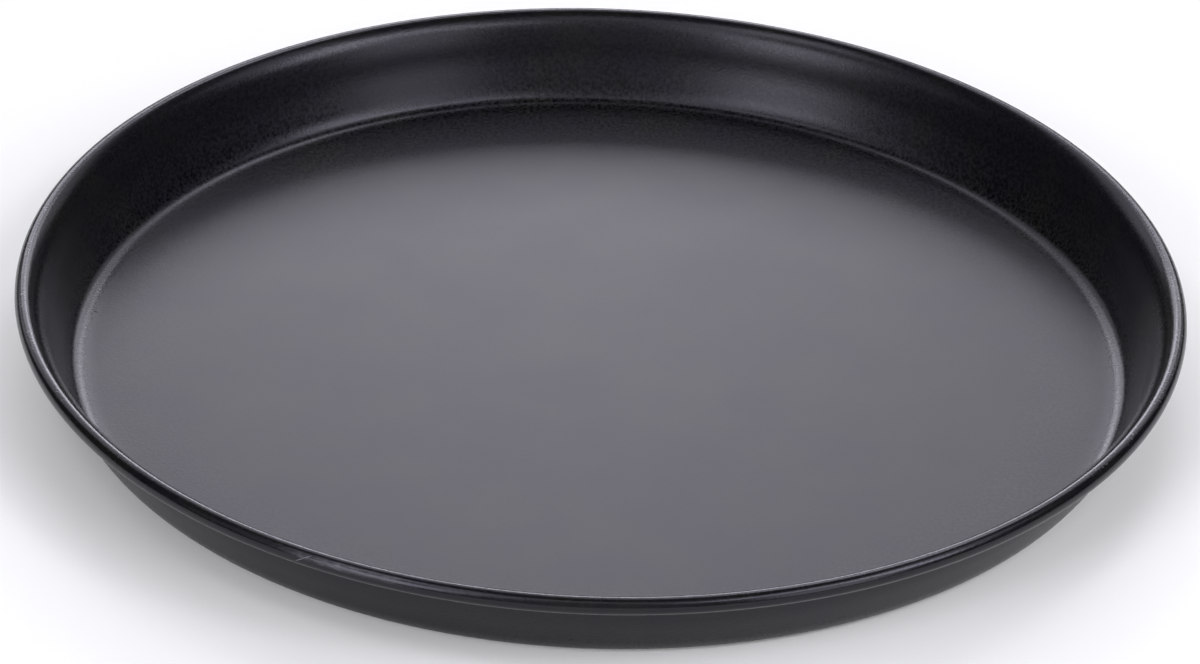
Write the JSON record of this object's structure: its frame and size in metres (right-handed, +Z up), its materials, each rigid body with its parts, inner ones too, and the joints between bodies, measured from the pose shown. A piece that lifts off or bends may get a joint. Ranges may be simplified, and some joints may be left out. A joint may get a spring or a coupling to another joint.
{
  "type": "pizza pan",
  "caption": "Round pizza pan with a flat floor, a low leaning wall that flares at the top, and a rim curled over a wire.",
  "frame": {"origin": "centre of the flat underside, on the surface that the pan stands on", "axes": "+Z up along the pan's axis of symmetry; X and Y are alike, because the pan is round"},
  "size_m": [0.32, 0.3199, 0.025],
  "materials": {
    "coated_sheet": "satin",
    "bare_wire": "drawn"
  },
  "bodies": {
    "root": {"pan_body": "coated_sheet", "rim_wire": "bare_wire"}
  },
  "joints": []
}
